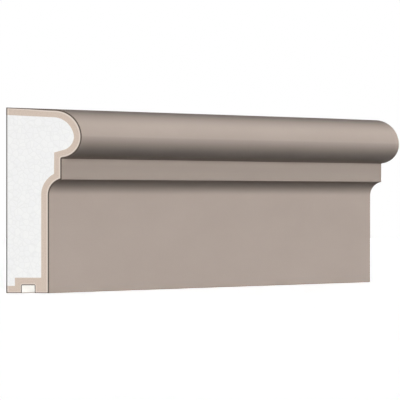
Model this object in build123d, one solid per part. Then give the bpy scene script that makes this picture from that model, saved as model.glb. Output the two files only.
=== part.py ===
from build123d import *
from math import cos, radians, sin, sqrt, tan
import os

# Coated foam facade moulding. Millimetres, +Z up, front towards -Y, length along X.
# The origin is under the middle of the box: halfway along, halfway through, at the underside.

# Overall
length = 2000.0
height = 150.0                # underside to the back edge of the top
projection = 61.6             # wall face to the front of the nose

# Face, from the top down
top_fall = 2.3                # degrees, the top sheds water towards the front
nose_upper_radius = 22.2
nose_lower_radius = 17.4
band_height = 17.0            # flat band under the nose
band_step = 10.2              # the band stands this far in front of the plain face
cove_overrun = 2.5            # the cove's centre lies this far in front of the band
body_depth = 35.0             # wall face to the plain face

# Drip groove along the underside
groove_setback = 12.7         # wall face to the back of the groove
groove_width = 10.6
groove_depth = 6.6

# Hard coat, on every face but the wall side and the cut ends
coat = 6.0

# Worked out from the sizes above
fall = radians(top_fall)
band_depth = body_depth + band_step
cove_radius = band_step + cove_overrun
cove_rise = sqrt(cove_radius**2 - cove_overrun**2)
upper_centre = projection - nose_upper_radius
lower_centre = projection - nose_lower_radius
brow_depth = upper_centre + nose_upper_radius * sin(fall)
nose_level = height - brow_depth * tan(fall) - nose_upper_radius * cos(fall)
cove_level = nose_level - nose_lower_radius - band_height - cove_rise


def block(depth_from, depth_to, level_from, level_to):
    """Rectangle of the section, between two distances from the wall and two levels."""
    size = Rectangle(depth_to - depth_from, level_to - level_from, align=(Align.MIN, Align.MIN))
    return Pos(depth_from, level_from) * size


def crown(inset):
    """Sloping top, run out level with the nose's centre and tangent to its upper round."""
    round_radius = nose_upper_radius - inset
    wall_corner = (0, height - inset / cos(fall))
    brow = (upper_centre + round_radius * sin(fall), nose_level + round_radius * cos(fall))
    outline = Polyline((0, nose_level), (upper_centre, nose_level), brow, wall_corner, close=True)
    return make_face(outline)


def nose(inset):
    """Half-round nose: a wide quarter above its centre and a tighter one below."""
    upper_radius = nose_upper_radius - inset
    lower_radius = nose_lower_radius - inset
    front = projection - inset
    upper = Pos(upper_centre, nose_level) * Circle(upper_radius)
    lower = Pos(lower_centre, nose_level) * Circle(lower_radius)
    upper_half = upper & block(upper_centre, front, nose_level, nose_level + upper_radius)
    lower_half = lower & block(lower_centre, front, nose_level - lower_radius, nose_level)
    backing = block(0, lower_centre, nose_level - lower_radius, nose_level)
    return upper_half + lower_half + backing


def band_and_cove(inset):
    """Flat band under the nose, hollowed below to run down into the plain face."""
    band = block(0, band_depth - inset, cove_level, nose_level)
    hollow = Pos(band_depth + cove_overrun, cove_level) * Circle(cove_radius + inset)
    return band - hollow


def body(inset):
    """Plain lower part, with the drip groove cut up into its underside."""
    stem = block(0, body_depth - inset, inset, cove_level)
    groove_back = groove_setback - inset
    groove_front = groove_setback + groove_width + inset
    return stem - block(groove_back, groove_front, 0, groove_depth + inset)


def section(inset):
    """Whole section, with every face but the wall side moved in by the inset."""
    return crown(inset) + nose(inset) + band_and_cove(inset) + body(inset)


def run(profile):
    """Section drawn from the wall face outwards, run along the whole length."""
    drawing = Plane(origin=(0, projection / 2, 0), x_dir=(0, -1, 0), z_dir=(-1, 0, 0))
    return extrude(drawing * profile, length / 2, both=True)


def foam_core():
    """Light core, bare on the wall side and on the cut ends."""
    return run(section(coat))


def coating_shell():
    """Hard coat round the core, with the drip groove in its underside."""
    return run(section(0) - section(coat))


os.makedirs("parts", exist_ok=True)
export_step(foam_core(), "parts/foam_core.step")
export_step(coating_shell(), "parts/coating_shell.step")
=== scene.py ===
from math import acos, atan2, ceil, cos, hypot, pi, radians, sin, sqrt, tan

import bmesh
import bpy
import numpy as np
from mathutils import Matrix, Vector, noise
from mathutils.geometry import delaunay_2d_cdt


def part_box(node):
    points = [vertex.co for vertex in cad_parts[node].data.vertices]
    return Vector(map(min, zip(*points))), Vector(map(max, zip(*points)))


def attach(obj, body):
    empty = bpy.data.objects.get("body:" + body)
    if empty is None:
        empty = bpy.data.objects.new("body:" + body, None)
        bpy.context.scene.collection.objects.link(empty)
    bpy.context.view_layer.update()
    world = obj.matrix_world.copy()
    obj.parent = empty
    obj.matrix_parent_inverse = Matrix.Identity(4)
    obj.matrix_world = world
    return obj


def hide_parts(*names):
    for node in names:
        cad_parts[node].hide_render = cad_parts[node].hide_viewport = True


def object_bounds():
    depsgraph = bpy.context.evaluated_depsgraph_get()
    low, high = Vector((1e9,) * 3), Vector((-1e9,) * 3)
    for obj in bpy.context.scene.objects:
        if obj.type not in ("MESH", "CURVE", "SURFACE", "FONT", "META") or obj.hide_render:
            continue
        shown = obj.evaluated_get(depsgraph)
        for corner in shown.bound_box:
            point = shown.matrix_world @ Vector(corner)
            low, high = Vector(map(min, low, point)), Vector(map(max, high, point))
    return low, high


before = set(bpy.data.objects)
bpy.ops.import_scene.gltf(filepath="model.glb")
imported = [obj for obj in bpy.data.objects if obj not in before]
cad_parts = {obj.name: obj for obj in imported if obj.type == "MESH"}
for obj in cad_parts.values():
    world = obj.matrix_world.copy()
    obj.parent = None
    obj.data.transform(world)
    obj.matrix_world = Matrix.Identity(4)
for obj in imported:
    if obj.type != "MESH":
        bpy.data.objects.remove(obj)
cad_low, cad_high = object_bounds()

# Everything below is in metres. MM turns a size read in millimetres into metres.
MM = 0.001

# Section of the moulding, as distances from the wall and levels above the underside
LENGTH = cad_high.x - cad_low.x
HEIGHT = cad_high.z - cad_low.z
PROJECTION = cad_high.y - cad_low.y
WALL_Y = cad_high.y
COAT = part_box("foam_core")[0].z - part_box("coating_shell")[0].z
TOP_FALL = radians(2.3)
NOSE_UPPER_RADIUS = 22.2 * MM
NOSE_LOWER_RADIUS = 17.4 * MM
BAND_HEIGHT = 17.0 * MM
BAND_STEP = 10.2 * MM
COVE_OVERRUN = 2.5 * MM
BODY_DEPTH = 35.0 * MM
GROOVE_SETBACK = 12.7 * MM
GROOVE_WIDTH = 10.6 * MM
GROOVE_DEPTH = 6.6 * MM

# The trowelled coat is thicker round the nose and behind the plain face, and thinner
# where the nose meets the band and behind the groove
FRONT_EXTRA = 0.3 * MM          # all round the nose
SHOULDER_EXTRA = 0.55 * MM      # besides, on its upper shoulder
UNDER_EXTRA = 0.3 * MM          # besides, on its underside
NOSE_FOOT_ANGLE = radians(68)   # where the foam's own nose ends, below level
NOSE_FOOT_DROP = 1.2 * MM       # from the lowest level of that nose to the foam's band
HEEL_THINNING = 0.4 * MM        # behind the groove
FACE_EXTRA = 0.4 * MM           # behind the plain face and the cove

# Worked out from the sizes above
BAND_DEPTH = BODY_DEPTH + BAND_STEP
COVE_RADIUS = BAND_STEP + COVE_OVERRUN
COVE_RISE = sqrt(COVE_RADIUS**2 - COVE_OVERRUN**2)
UPPER_CENTRE = PROJECTION - NOSE_UPPER_RADIUS
LOWER_CENTRE = PROJECTION - NOSE_LOWER_RADIUS
BROW_DEPTH = UPPER_CENTRE + NOSE_UPPER_RADIUS * sin(TOP_FALL)
NOSE_LEVEL = HEIGHT - BROW_DEPTH * tan(TOP_FALL) - NOSE_UPPER_RADIUS * cos(TOP_FALL)
COVE_LEVEL = NOSE_LEVEL - NOSE_LOWER_RADIUS - BAND_HEIGHT - COVE_RISE
GROOVE_FRONT = GROOVE_SETBACK + GROOVE_WIDTH

# How the surfaces are divided
ARC_STEP = radians(3.0)
ROUNDED_TURN = radians(25)    # a corner of the coat that turns further is rounded
ROUND_POINTS = 5              # points on such a rounding
SHARP_TURN = radians(35)      # an edge that turns further is not shaded smooth
RUN_STEP = 10.0 * MM          # between stations along the length
END_STEP = 2.0 * MM           # from a cut end to the second station by it
FACE_STEP = 3.0 * MM          # between points across a flat face
CUT_STEP = 0.55 * MM          # between points on a cut end
CUT_JITTER = 0.3              # how far those points stray, as a share of their step
CUT_MARGIN = 0.5              # how near they come to the rim, as a share of their step
SEED = 11

# How the surfaces are worked
ARRIS = 0.6 * MM              # rounding of the coat's edges
EDGE_WEAR = 0.3 * MM          # wear of a cut end at its outer edge
GRIT = 0.06 * MM              # relief of the sawn coat
GRIT_SIZE = 0.9 * MM
FOAM_SETBACK = 0.3 * MM       # from the coat's cut end to the foam's
FILM = 1.1 * MM               # paint film, seen edge on at a cut end
FOOT_FILM = 0.65 * MM         # the same along the underside and in the groove
FILM_GROWS_FROM = 10.0 * MM   # on top it is that thin up to here, and FILM thick at the nose
EDGE_HIGHLIGHT = 1.1 * MM          # paler band inside the film: a painted edge highlight
WALL_LINE = 0.97 * MM         # darker rim of a cut end along the wall side
BARE_FROM = 0.5 * MM          # the groove's lining is bare from this level up
END_ZONE = 1.0 * MM           # points nearer to an end than this belong to its cut
MARGIN = 1.0 * MM             # taken round the groove when its faces are picked out
SLACK = 0.01 * MM             # taken where two places are compared
FAR_OFF = 100.0 * MM          # a distance from the wall at which its rim never shows

# Painted shade in the paint's colour, for the darker top edge and underside of the nose, the band under
# it and the top of the cove: the slopes of the surface, in degrees, between which it grows, and its most
TOP_SHADE = (24, 90, 2.0)
NOSE_SHADE = (-18, 48, 1.60)
NOSE_FOOT_SHADE = (52, 75, -0.76)
COVE_SHADE = (1, 49, 1.18)
BROW_MOST = 1.6               # no part of the top gets more painted shade
BEHIND_BROW_LESS = 0.5        # share by which the top's painted shade is lighter well behind the brow
BEHIND_BROW_REACH = 14.0 * MM
BAND_SHADE = 0.42
BAND_SHADE_REACH = 7.5 * MM    # from the nose's foot down to where the band's painted shade is full
PAINTED_SHADE = 0.40                   # darkening of the colour for a painted shade of 1
PAINTED_SHADE_SPREAD = 0.08            # share by which mottling varies it


def arc(centre, radius, start, end):
    """Points of an arc from one angle to another, ends included."""
    count = max(2, ceil(abs(end - start) / ARC_STEP))
    turns = [start + (end - start) * i / count for i in range(count + 1)]
    return [(centre[0] + radius * cos(t), centre[1] + radius * sin(t)) for t in turns]


def thickened(points, centre, radius, inset, most):
    """Points of an arc drawn towards its centre, most of all halfway between level and upright."""
    if inset == 0:
        return points
    moved = []
    for d, z in points:
        turn = atan2(abs(z - centre[1]), d - centre[0])
        share = 1 - (FRONT_EXTRA + most * sin(2 * turn)) / radius
        moved.append((centre[0] + share * (d - centre[0]), centre[1] + share * (z - centre[1])))
    return moved


def face_line(inset):
    """Line of the weathered faces, from the wall at the top round to the plain face's foot.

    Without an inset it is the coat's outer line. With one it is the line where coat and foam meet.
    """
    upper = NOSE_UPPER_RADIUS - inset
    lower = NOSE_LOWER_RADIUS - inset
    band = BAND_DEPTH - inset
    hollow = COVE_RADIUS + inset
    hollow_centre = (BAND_DEPTH + COVE_OVERRUN, COVE_LEVEL)
    points = [(0.0, HEIGHT - inset / cos(TOP_FALL))]
    centre = (UPPER_CENTRE, NOSE_LEVEL)
    over = arc(centre, upper, pi / 2 - TOP_FALL, 0.0)
    points += thickened(over, centre, upper, inset, SHOULDER_EXTRA)
    centre = (LOWER_CENTRE, NOSE_LEVEL)
    reach = (band - LOWER_CENTRE) / lower
    foot = -acos(reach) if reach > 0 else -NOSE_FOOT_ANGLE
    under = arc(centre, lower, 0.0, foot)[1:]
    points += thickened(under, centre, lower, inset, UNDER_EXTRA)
    if reach < 0:
        points.append((band, NOSE_LEVEL - lower - NOSE_FOOT_DROP))
    lip = pi - acos((COVE_OVERRUN + inset) / hollow)
    points += arc(hollow_centre, hollow + (FACE_EXTRA if inset else 0.0), lip, pi)
    return points


def outer_line():
    """The coat's outer line: the faces, then the underside with its drip groove."""
    foot = [(BODY_DEPTH, 0.0), (GROOVE_FRONT, 0.0), (GROOVE_FRONT, GROOVE_DEPTH)]
    foot += [(GROOVE_SETBACK, GROOVE_DEPTH), (GROOVE_SETBACK, 0.0), (0.0, 0.0)]
    return face_line(0.0) + foot


def inner_line():
    """Where coat and foam meet."""
    roof = GROOVE_DEPTH + COAT
    heel = GROOVE_SETBACK - COAT + HEEL_THINNING
    face = BODY_DEPTH - COAT - FACE_EXTRA
    foot = [(face, roof), (heel, roof), (heel, COAT), (0.0, COAT)]
    return face_line(COAT) + foot


def eased(points, radius):
    """The line with its sharp corners rounded."""
    made = [points[0]]
    for before, corner, after in zip(points, points[1:], points[2:]):
        a = Vector(before) - Vector(corner)
        b = Vector(after) - Vector(corner)
        turn = pi - a.angle(b)
        if turn < ROUNDED_TURN:
            made.append(corner)
            continue
        reach = radius * tan(turn / 2)
        first = Vector(corner) + a.normalized() * reach
        last = Vector(corner) + b.normalized() * reach
        for i in range(ROUND_POINTS):
            t = i / (ROUND_POINTS - 1)
            near = first.lerp(Vector(corner), t)
            far = Vector(corner).lerp(last, t)
            made.append(tuple(near.lerp(far, t)))
    made.append(points[-1])
    return made


def divided(points, step):
    """The line with its long stretches divided."""
    made = [points[0]]
    for a, b in zip(points, points[1:]):
        count = max(1, ceil(hypot(b[0] - a[0], b[1] - a[1]) / step))
        for i in range(1, count + 1):
            made.append((a[0] + (b[0] - a[0]) * i / count, a[1] + (b[1] - a[1]) * i / count))
    return made


def line_distance(points, line):
    """Distance of each point from a line of straight pieces."""
    points = np.asarray(points, float)
    nearest = np.full(len(points), np.inf)
    for a, b in zip(np.asarray(line[:-1], float), np.asarray(line[1:], float)):
        span = b - a
        share = np.clip(((points - a) @ span) / max(span @ span, 1e-18), 0, 1)
        nearest = np.minimum(nearest, np.linalg.norm(points - a - share[:, None] * span, axis=1))
    return nearest


def stations():
    """Places along the length, closer together by the two ends."""
    low, high = cad_low.x, cad_high.x
    count = round(LENGTH / RUN_STEP)
    inner = [low + LENGTH * i / count for i in range(1, count)]
    return [low, low + ARRIS, low + END_STEP] + inner + [high - END_STEP, high - ARRIS, high]


def cap_fill(ring, seed):
    """Triangles that fill a cut end: points inside the ring and faces over the ring and them."""
    rng = np.random.default_rng(seed)
    low = np.min(ring, axis=0)
    high = np.max(ring, axis=0)
    across = np.arange(low[0], high[0], CUT_STEP)
    up = np.arange(low[1], high[1], CUT_STEP)
    grid = np.stack(np.meshgrid(across, up), axis=-1).reshape(-1, 2)
    grid = grid + rng.uniform(-CUT_JITTER, CUT_JITTER, grid.shape) * CUT_STEP
    closed = list(ring) + [ring[0]]
    grid = grid[line_distance(grid, closed) > CUT_MARGIN * CUT_STEP]
    given = [Vector(p) for p in ring] + [Vector(p) for p in grid]
    found = delaunay_2d_cdt(given, [], [list(range(len(ring)))], 1, 1e-9)
    points, triangles, origins = found[0], found[2], found[3]
    used = sorted({v for t in triangles for v in t})
    place = {}
    inside = []
    for v in used:
        own = [i for i in origins[v] if i < len(ring)]
        if own:
            place[v] = own[0]
        else:
            place[v] = len(ring) + len(inside)
            inside.append(tuple(points[v]))
    return inside, [[place[v] for v in t] for t in triangles]


def prism(name, ring, seed, wear):
    """A run of the ring between two filled ends, and the number of faces along the run.

    The faces along the run come first. wear gives how far a cut end is worn back at each point.
    """
    places = stations()
    count = len(ring)
    inside, triangles = cap_fill(ring, seed)
    points = []
    for x in places:
        points += [(x, WALL_Y - d, z) for d, z in ring]
    faces = []
    for s in range(len(places) - 1):
        for i in range(count):
            j = (i + 1) % count
            faces.append((s * count + i, s * count + j, (s + 1) * count + j, (s + 1) * count + i))
    run_faces = len(faces)
    worn = wear(np.array(list(ring) + inside))
    for x, rim, sign in ((places[0], 0, 1), (places[-1], (len(places) - 1) * count, -1)):
        base = len(points)
        for k in range(count):
            old = points[rim + k]
            points[rim + k] = (old[0] + sign * worn[k], old[1], old[2])
        for k, (d, z) in enumerate(inside):
            points.append((x + sign * worn[count + k], WALL_Y - d, z))
        for t in triangles:
            own = [rim + v if v < count else base + v - count for v in t]
            faces.append(tuple(own if sign == 1 else reversed(own)))
    mesh = bpy.data.meshes.new(name)
    mesh.from_pydata(points, [], faces)
    mesh.validate()
    mesh.update()
    piece = bpy.data.objects.new(name, mesh)
    bpy.context.scene.collection.objects.link(piece)
    return piece, run_faces


def finish_normals(piece):
    """Faces turned outwards and smooth, apart from the sharp edges."""
    work = bmesh.new()
    work.from_mesh(piece.data)
    bmesh.ops.recalc_face_normals(work, faces=work.faces)
    work.to_mesh(piece.data)
    work.free()
    piece.data.shade_smooth()
    piece.data.set_sharp_from_angle(angle=SHARP_TURN)


def section_places(piece):
    """Distance from the wall, level and place along the length of every point of the piece."""
    points = np.zeros(len(piece.data.vertices) * 3)
    piece.data.vertices.foreach_get("co", points)
    points = points.reshape(-1, 3)
    return WALL_Y - points[:, 1], points[:, 2], points[:, 0]


def smooth(value, low, high):
    """0 below low, 1 above high, and an even curve between them."""
    share = np.clip((value - low) / (high - low), 0, 1)
    return share * share * (3 - 2 * share)


def grown(slope, painted_shade):
    """Painted shade at a slope, from the two slopes between which it grows and its most."""
    return painted_shade[2] * smooth(slope, painted_shade[0], painted_shade[1])


def painted_shading(depth, level):
    """How far painted shade darkens the paint: on the top and the nose, on the band and in the cove."""
    nose_foot = NOSE_LEVEL - NOSE_LOWER_RADIUS
    rise = np.degrees(np.arctan2(level - NOSE_LEVEL, np.maximum(depth - UPPER_CENTRE, 0)))
    drop = np.degrees(np.arctan2(NOSE_LEVEL - level, np.maximum(depth - LOWER_CENTRE, 0)))
    hollow = np.degrees(np.arctan2(level - COVE_LEVEL, BAND_DEPTH + COVE_OVERRUN - depth))
    behind_brow = 1 - BEHIND_BROW_LESS * smooth(UPPER_CENTRE - depth, 0, BEHIND_BROW_REACH)
    on_top = np.minimum(grown(rise, TOP_SHADE), BROW_MOST) * behind_brow
    on_nose_foot = grown(drop, NOSE_SHADE) + grown(drop, NOSE_FOOT_SHADE)
    on_band = BAND_SHADE * smooth(nose_foot - level, 0, BAND_SHADE_REACH)
    in_cove = grown(hollow, COVE_SHADE)
    lower = np.where(level > COVE_LEVEL + COVE_RISE + SLACK, on_band, in_cove)
    lower = np.where(level < COVE_LEVEL, 0.0, lower)
    upper = np.where(level > NOSE_LEVEL, on_top, on_nose_foot)
    return np.where(level > nose_foot - SLACK, upper, lower)


def float_attribute(piece, name, values):
    """Stores a value at every point of the piece, for its materials."""
    attribute = piece.data.attributes.new(name, "FLOAT", "POINT")
    attribute.data.foreach_set("value", np.asarray(values, np.float32))


# Materials

GRAIN_SIZE = 1.1 * MM         # sand grains in the coat's surface
CUT_GRAIN_SIZE = 0.9 * MM     # grains in the sawn coat
STONE_SIZE = 1.6 * MM         # the larger ones among them
MOTTLE_SIZE = 40.0 * MM       # patches of the paint, across the length
MOTTLE_STRETCH = (0.12, 1.0, 1.0)
STREAK_SIZE = 2.2 * MM        # trowel streaks, across the length
STREAK_STRETCH = (0.02, 1.0, 1.0)
BEAD_SIZE = 4.2 * MM          # beads of the foam
NOISE_LOW = 0.3               # nearly all of a noise lies between these two values
NOISE_HIGH = 0.7


def new_material(name):
    """A material without nodes but its output, with its node tree and that output."""
    material = bpy.data.materials.new(name)
    material.use_nodes = True
    tree = material.node_tree
    tree.nodes.clear()
    output = tree.nodes.new("ShaderNodeOutputMaterial")
    return material, tree, output


def node(tree, kind, inputs=None, **settings):
    """A node with its settings, and its inputs given as numbers, colours or other nodes' outputs."""
    made = tree.nodes.new(kind)
    for key, value in settings.items():
        setattr(made, key, value)
    for key, value in (inputs or {}).items():
        socket = made.inputs[key]
        if isinstance(value, bpy.types.NodeSocket):
            tree.links.new(value, socket)
        else:
            socket.default_value = value
    return made


def own_position(tree):
    """Place on the piece itself, in metres."""
    return node(tree, "ShaderNodeTexCoord").outputs["Object"]


def stored(tree, name):
    """A value that the piece stores at its points."""
    return node(tree, "ShaderNodeAttribute", attribute_name=name).outputs["Fac"]


def scaled(tree, position, factors):
    """The position multiplied by three factors."""
    return node(tree, "ShaderNodeVectorMath", {0: position, 1: factors}, operation="MULTIPLY").outputs[0]


def noise_value(tree, position, size, detail, rough):
    """Noise whose features are about size across."""
    inputs = {"Vector": position, "Scale": 1 / size, "Detail": detail, "Roughness": rough}
    return node(tree, "ShaderNodeTexNoise", inputs).outputs["Fac"]


def remap(tree, value, from_low, from_high, to_low, to_high):
    """The value moved from one range to another and held within it."""
    inputs = {"Value": value, "From Min": from_low, "From Max": from_high}
    inputs.update({"To Min": to_low, "To Max": to_high})
    return node(tree, "ShaderNodeMapRange", inputs).outputs[0]


def spread(tree, value, low, high):
    """A noise brought to run from low to high."""
    return remap(tree, value, NOISE_LOW, NOISE_HIGH, low, high)


def beyond(tree, distance, edge, before, after):
    """0 short of the edge and 1 beyond it, with a soft step from before it to after it."""
    return remap(tree, distance, edge - before, edge + after, 0.0, 1.0)


def mixed(tree, share, a, b):
    """The colour a, with a share of the colour b. 0, 6, 7 and 2 are the colour mix's own sockets."""
    return node(tree, "ShaderNodeMix", {0: share, 6: a, 7: b}, data_type="RGBA").outputs[2]


def computed(tree, operation, a, b):
    """The result of an operation on two values."""
    return node(tree, "ShaderNodeMath", {0: a, 1: b}, operation=operation).outputs[0]


def rgb(red, green, blue):
    """A colour written as it looks on screen, from 0 to 255."""
    def linear(v):
        v = v / 255
        return v / 12.92 if v <= 0.04045 else ((v + 0.055) / 1.055) ** 2.4
    return (linear(red), linear(green), linear(blue), 1.0)


def grey(value):
    """A grey that reflects or sends out that share of the light."""
    return (value, value, value, 1.0)


# Colours. Where there are two, a noise runs from the one to the other.
PAINT = (rgb(174, 159, 148), rgb(178, 163, 152))
PAINT_GRAIN = rgb(150, 137, 127)
# black, mixed into the paint as painted shade
SHADE_BLACK = rgb(0, 0, 0)
SAWN_COAT = (rgb(202, 184, 170), rgb(214, 198, 185))
STONE = rgb(178, 160, 147)
# colour of the painted edge highlight inside the film
EDGE_HIGHLIGHT_COLOUR = rgb(222, 209, 198)
FILM_COLOUR = rgb(91, 79, 71)
BARE_COAT = (rgb(250, 248, 244), rgb(253, 252, 249))
FOAM = (rgb(241, 241, 241), rgb(243, 243, 242))
SEAM = rgb(224, 224, 223)
WALL_LINE_COLOUR = rgb(98, 97, 95)

# Shares of the darker colours, and how far they reach in cells of the pattern
GRAIN_SHARE = 0.10
STONE_SHARE = 0.25
STONE_REACH = 0.35
SEAM_SHARE = 0.32
SEAM_REACH = 0.10
SEAM_HOLLOW = 0.15            # reach of the hollow along a seam


def dressed(tree, output, look, height, strength, depth):
    """A surface with the given look, and a relief of the given height, strength and depth."""
    bump = node(tree, "ShaderNodeBump", {"Strength": strength, "Distance": depth, "Height": height})
    shader = node(tree, "ShaderNodeBsdfPrincipled", {**look, "Normal": bump.outputs[0]})
    tree.links.new(shader.outputs[0], output.inputs[0])


def taupe_finish():
    """Painted mineral coat: fine sand grain, faint streaks along the run, slight mottling, and painted
    shade from the stored darkening.
    """
    material, tree, output = new_material("taupe_finish")
    position = own_position(tree)
    grain = noise_value(tree, position, GRAIN_SIZE, detail=3.0, rough=0.6)
    patches = scaled(tree, position, MOTTLE_STRETCH)
    mottle = noise_value(tree, patches, MOTTLE_SIZE, detail=3.0, rough=0.55)
    streaks = scaled(tree, position, STREAK_STRETCH)
    drawn = noise_value(tree, streaks, STREAK_SIZE, detail=2.0, rough=0.5)
    colour = mixed(tree, spread(tree, mottle, 0.0, 1.0), *PAINT)
    colour = mixed(tree, remap(tree, grain, 0.35, 0.65, 0.0, GRAIN_SHARE), colour, PAINT_GRAIN)
    # painted shade stored at the points darkens the paint, varied a little by the mottling
    painted_shade = stored(tree, "painted_shade")
    darkening = spread(tree, mottle, (1 - PAINTED_SHADE_SPREAD) * PAINTED_SHADE, (1 + PAINTED_SHADE_SPREAD) * PAINTED_SHADE)
    colour = mixed(tree, computed(tree, "MULTIPLY", painted_shade, darkening), colour, SHADE_BLACK)
    rough = spread(tree, grain, 0.77, 0.83)
    height = computed(tree, "ADD", grain, computed(tree, "MULTIPLY", drawn, 0.5))
    look = {"Base Color": colour, "Roughness": rough}
    look.update({"Specular IOR Level": 0.15, "Specular Tint": rgb(214, 196, 180)})
    dressed(tree, output, look, height, strength=0.5, depth=0.05 * MM)
    return material


def cut_coat():
    """Sawn coat: pale aggregate with grains, a paler band inside the film as a painted edge highlight,
    and the dark paint film edge on.
    """
    material, tree, output = new_material("cut_coat")
    position = own_position(tree)
    inward = stored(tree, "inward")
    grain = noise_value(tree, position, CUT_GRAIN_SIZE, detail=3.0, rough=0.6)
    cells = {"Vector": position, "Scale": 1 / STONE_SIZE}
    stones = node(tree, "ShaderNodeTexVoronoi", cells, feature="F1").outputs["Distance"]
    colour = mixed(tree, spread(tree, grain, 0.0, 1.0), *SAWN_COAT)
    colour = mixed(tree, remap(tree, stones, 0.0, STONE_REACH, STONE_SHARE, 0.0), colour, STONE)
    # a paler band inside the film, a painted edge highlight
    past_edge_highlight = beyond(tree, inward, FILM + EDGE_HIGHLIGHT, 0.2 * MM, 0.2 * MM)
    colour = mixed(tree, past_edge_highlight, EDGE_HIGHLIGHT_COLOUR, colour)
    past_film = beyond(tree, inward, FILM, 0.15 * MM, 0.15 * MM)
    colour = mixed(tree, past_film, FILM_COLOUR, colour)
    height = computed(tree, "ADD", grain, stones)
    look = {"Base Color": colour, "Roughness": 0.9, "Specular IOR Level": 0.2}
    dressed(tree, output, look, height, strength=0.4, depth=0.08 * MM)
    return material


def bare_coat():
    """Coat left without paint in the drip groove."""
    material, tree, output = new_material("bare_coat")
    grain = noise_value(tree, own_position(tree), GRAIN_SIZE, detail=3.0, rough=0.6)
    colour = mixed(tree, spread(tree, grain, 0.0, 1.0), *BARE_COAT)
    look = {"Base Color": colour, "Roughness": 0.9, "Specular IOR Level": 0.2}
    dressed(tree, output, look, grain, strength=0.4, depth=0.05 * MM)
    return material


def bead_foam():
    """Foam of fused beads: pale, with faint seams between the beads and a darker rim at the wall."""
    material, tree, output = new_material("bead_foam")
    cells = {"Vector": own_position(tree), "Scale": 1 / BEAD_SIZE}
    seams = node(tree, "ShaderNodeTexVoronoi", cells, feature="DISTANCE_TO_EDGE").outputs["Distance"]
    tone = node(tree, "ShaderNodeTexVoronoi", cells, feature="F1").outputs["Color"]
    bead = node(tree, "ShaderNodeSeparateColor", {0: tone}).outputs[0]
    colour = mixed(tree, bead, *FOAM)
    colour = mixed(tree, remap(tree, seams, 0.0, SEAM_REACH, SEAM_SHARE, 0.0), colour, SEAM)
    past_line = beyond(tree, stored(tree, "from_wall"), WALL_LINE, 0.2 * MM, 0.1 * MM)
    colour = mixed(tree, past_line, WALL_LINE_COLOUR, colour)
    height = remap(tree, seams, 0.0, SEAM_HOLLOW, 0.0, 1.0)
    look = {"Base Color": colour, "Roughness": 0.75, "Specular IOR Level": 0.25}
    dressed(tree, output, look, height, strength=0.3, depth=0.1 * MM)
    return material


# The moulding


def coat_piece():
    """The hard coat, with worn cut ends."""
    outer = divided(eased(outer_line(), ARRIS), FACE_STEP)
    inner = divided(inner_line(), FACE_STEP)
    ring = outer + inner[::-1]

    def wear(flat):
        rim = line_distance(flat, outer)
        grit = np.array([noise.noise(Vector((p[0], p[1], 0.0)) / GRIT_SIZE) for p in flat])
        return np.clip(1 - rim / ARRIS, 0, 1) * EDGE_WEAR + GRIT * (1 + grit)

    piece, run_faces = prism("painted_coat", ring, SEED, wear)
    finish_normals(piece)
    for material in (taupe_finish(), cut_coat(), bare_coat()):
        piece.data.materials.append(material)
    painted, cut, bare = 0, 1, 2
    count = len(ring)
    for polygon in piece.data.polygons:
        place = polygon.index % count
        d, z = (np.array(ring[place]) + np.array(ring[(place + 1) % count])) / 2
        by_groove = GROOVE_SETBACK - MARGIN < d < GROOVE_FRONT + MARGIN
        if polygon.index >= run_faces or place >= len(outer) - 1:
            polygon.material_index = cut
        elif by_groove and BARE_FROM < z < GROOVE_DEPTH + MARGIN:
            polygon.material_index = bare
        else:
            polygon.material_index = painted
    depth, level, along = section_places(piece)
    places = np.stack([depth, level], axis=1)
    faces = [p for p in outer if p[0] > BODY_DEPTH - SLACK or p[1] > COVE_LEVEL]
    top_film = FOOT_FILM + (FILM - FOOT_FILM) * smooth(depth, FILM_GROWS_FROM, UPPER_CENTRE)
    by_face = line_distance(places, faces) * FILM / np.where(level > NOSE_LEVEL, top_film, FILM)
    by_foot = line_distance(places, outer) * FILM / FOOT_FILM
    rim = np.minimum(by_face, by_foot)
    by_wall = np.where(np.abs(along) > LENGTH / 2 - END_ZONE, depth * FILM / WALL_LINE, rim)
    float_attribute(piece, "inward", np.minimum(rim, by_wall))
    # painted shade on the top, the nose, the band and the cove
    float_attribute(piece, "painted_shade", painted_shading(depth, level))
    return piece


def foam_piece():
    """The foam core, a little shy of the coat at its cut ends."""
    inner = divided(inner_line(), FACE_STEP)
    back = divided([inner[-1], inner[0]], FACE_STEP)[1:-1]

    def wear(flat):
        return np.full(len(flat), FOAM_SETBACK)

    piece, _ = prism("bead_foam_core", inner + back, SEED + 1, wear)
    finish_normals(piece)
    piece.data.materials.append(bead_foam())
    depth, _, along = section_places(piece)
    at_end = np.abs(along) > LENGTH / 2 - END_ZONE
    float_attribute(piece, "from_wall", np.where(at_end, depth, FAR_OFF))
    return piece


def put(piece, stands_for):
    """Hands the piece to the frame, in place of the solid that it stands for."""
    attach(piece, "root")
    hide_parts(stands_for)


coat = coat_piece()
core = foam_piece()
put(coat, "coating_shell")
put(core, "foam_core")


# Floor and background

WHITE = grey(1.0)
FLOOR_HALF = 20.0             # from the moulding to the floor's edge
FLOOR_DROP = 0.2 * MM         # the floor lies this far below the underside
FLOOR_SHADE = 0.8             # of the floor that is looked at, under its glow
FLOOR_GLOW = 0.69             # brings the lit floor up to white, and leaves its shadows
FLOOR_THROWN = 0.08           # shade of the floor in the light that it throws back
AMBIENT = 0.05                # light from all round


def seen_directly(tree):
    """1 for camera, glossy and transmission rays, 0 for the light that falls on the moulding."""
    path = node(tree, "ShaderNodeLightPath")
    either = computed(tree, "MAXIMUM", path.outputs["Is Camera Ray"], path.outputs["Is Glossy Ray"])
    return computed(tree, "MAXIMUM", either, path.outputs["Is Transmission Ray"])


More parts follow.
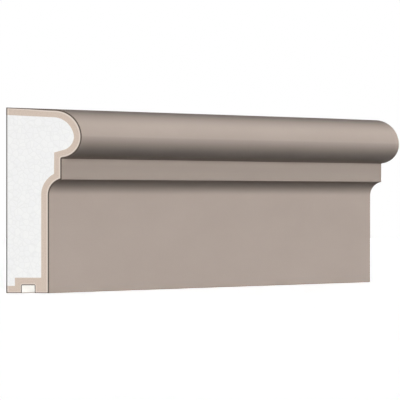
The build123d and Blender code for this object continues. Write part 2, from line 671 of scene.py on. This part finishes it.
def floor():
    """Pale floor: white where it is looked at, darker in the light that it throws back."""
    mesh = bpy.data.meshes.new("floor")
    signs = [(-1, -1), (1, -1), (1, 1), (-1, 1)]
    corners = [(x * FLOOR_HALF, y * FLOOR_HALF, -FLOOR_DROP) for x, y in signs]
    mesh.from_pydata(corners, [], [(0, 1, 2, 3)])
    piece = bpy.data.objects.new("floor", mesh)
    bpy.context.scene.collection.objects.link(piece)
    material, tree, output = new_material("pale_floor")
    looked_at = node(tree, "ShaderNodeBsdfDiffuse", {"Color": grey(FLOOR_SHADE)})
    glow = node(tree, "ShaderNodeEmission", {"Color": WHITE, "Strength": FLOOR_GLOW})
    shown = node(tree, "ShaderNodeAddShader", {0: looked_at.outputs[0], 1: glow.outputs[0]})
    thrown = node(tree, "ShaderNodeBsdfDiffuse", {"Color": grey(FLOOR_THROWN)})
    parts = {0: seen_directly(tree), 1: thrown.outputs[0], 2: shown.outputs[0]}
    chosen = node(tree, "ShaderNodeMixShader", parts)
    tree.links.new(chosen.outputs[0], output.inputs[0])
    # The glow is only looked at, so no light samples go to it
    material.cycles.emission_sampling = "NONE"
    mesh.materials.append(material)
    return piece


def background():
    """White where it is looked at, and a dim even light on the moulding."""
    world = bpy.data.worlds.new("studio")
    bpy.context.scene.world = world
    world.use_nodes = True
    tree = world.node_tree
    tree.nodes.clear()
    output = tree.nodes.new("ShaderNodeOutputWorld")
    dim = node(tree, "ShaderNodeBackground", {"Color": WHITE, "Strength": AMBIENT})
    white = node(tree, "ShaderNodeBackground", {"Color": WHITE, "Strength": 1.0})
    parts = {0: seen_directly(tree), 1: dim.outputs[0], 2: white.outputs[0]}
    chosen = node(tree, "ShaderNodeMixShader", parts)
    tree.links.new(chosen.outputs[0], output.inputs[0])


# Lamps, each in a direction as seen from the moulding

KEY = (-0.10, -0.885, 0.455)          # in front and above
NEAR_SIDE = (-0.965, -0.21, 0.15)     # off the near end
FAR_FRONT = (0.93, -0.32, 0.18)       # off the far end, a little in front
FAR_BACK = (0.95, 0.31, 0.04)         # off the far end, a little behind
BACK = (0.15, 0.97, 0.14)             # behind, a little above
WALL_SIDE = (0.0, 1.0, 0.0)           # straight behind


def lamp(name, towards, strength, width, shadow=True, lights=(), shine=True):
    """A distant lamp, width degrees wide, for the given pieces or for all.

    Without shine it lights surfaces but is not mirrored in them.
    """
    light = bpy.data.lights.new(name, "SUN")
    light.energy = strength
    light.angle = radians(width)
    light.use_shadow = shadow
    piece = bpy.data.objects.new(name, light)
    piece.rotation_mode = "QUATERNION"
    piece.rotation_quaternion = Vector(towards).to_track_quat("Z", "Y")
    piece.visible_glossy = shine
    bpy.context.scene.collection.objects.link(piece)
    if lights:
        lit = bpy.data.collections.new(name + "_lights")
        for each in lights:
            lit.objects.link(each)
        piece.light_linking.receiver_collection = lit


# The photograph's view: nearly along the length, level, the near end at the left

VIEW_TURN = radians(7.98)     # between the line of sight and the length
NEAR_DISTANCE = 14.66         # along the line of sight to the near end
NEAR_SCALE = 1239.0           # pixels for each metre at the near end
PICTURE = 400.0               # pixels
WALL_EDGE_PIXEL = 6.15        # column of the near end's wall edge
FOOT_PIXEL = 293.3            # row of the near end's underside
SENSOR = 36.0                 # millimetres, as the lens is
CLIP_END = 200.0


def camera():
    """The camera, placed from where the near end's lower wall corner lies in the photograph."""
    data = bpy.data.cameras.new("camera")
    focal_pixels = NEAR_SCALE * NEAR_DISTANCE
    data.sensor_width = SENSOR
    data.lens = focal_pixels * SENSOR / PICTURE
    data.clip_end = CLIP_END
    ahead = Vector((cos(VIEW_TURN), sin(VIEW_TURN), 0))
    right = Vector((sin(VIEW_TURN), -cos(VIEW_TURN), 0))
    corner = Vector((cad_low.x, WALL_Y, 0))
    aside = (WALL_EDGE_PIXEL - PICTURE / 2) / NEAR_SCALE
    level = (FOOT_PIXEL - PICTURE / 2) / NEAR_SCALE
    piece = bpy.data.objects.new("camera", data)
    piece.location = corner - ahead * NEAR_DISTANCE - right * aside + Vector((0, 0, level))
    piece.rotation_mode = "QUATERNION"
    piece.rotation_quaternion = ahead.to_track_quat("-Z", "Y")
    bpy.context.scene.collection.objects.link(piece)
    bpy.context.scene.camera = piece


ground = floor()
background()
lamp("key", KEY, strength=1.75, width=20, shadow=False, lights=(coat, core))
lamp("key_on_floor", KEY, strength=0.9, width=20, lights=(ground,))
lamp("near_fill", NEAR_SIDE, strength=2.8, width=16)
lamp("far_fill", FAR_FRONT, strength=0.82, width=16, shadow=False)
lamp("back_fill", BACK, strength=0.9, width=30)
lamp("groove_fill", WALL_SIDE, strength=2.5, width=30, shadow=False, lights=(coat,))
lamp("wall_side_fill", WALL_SIDE, strength=1.65, width=30, shadow=False, lights=(core,))
lamp("far_end_fill", FAR_BACK, strength=2.4, width=10, lights=(coat, core), shine=False)
camera()
bpy.context.scene.view_settings.view_transform = "Standard"
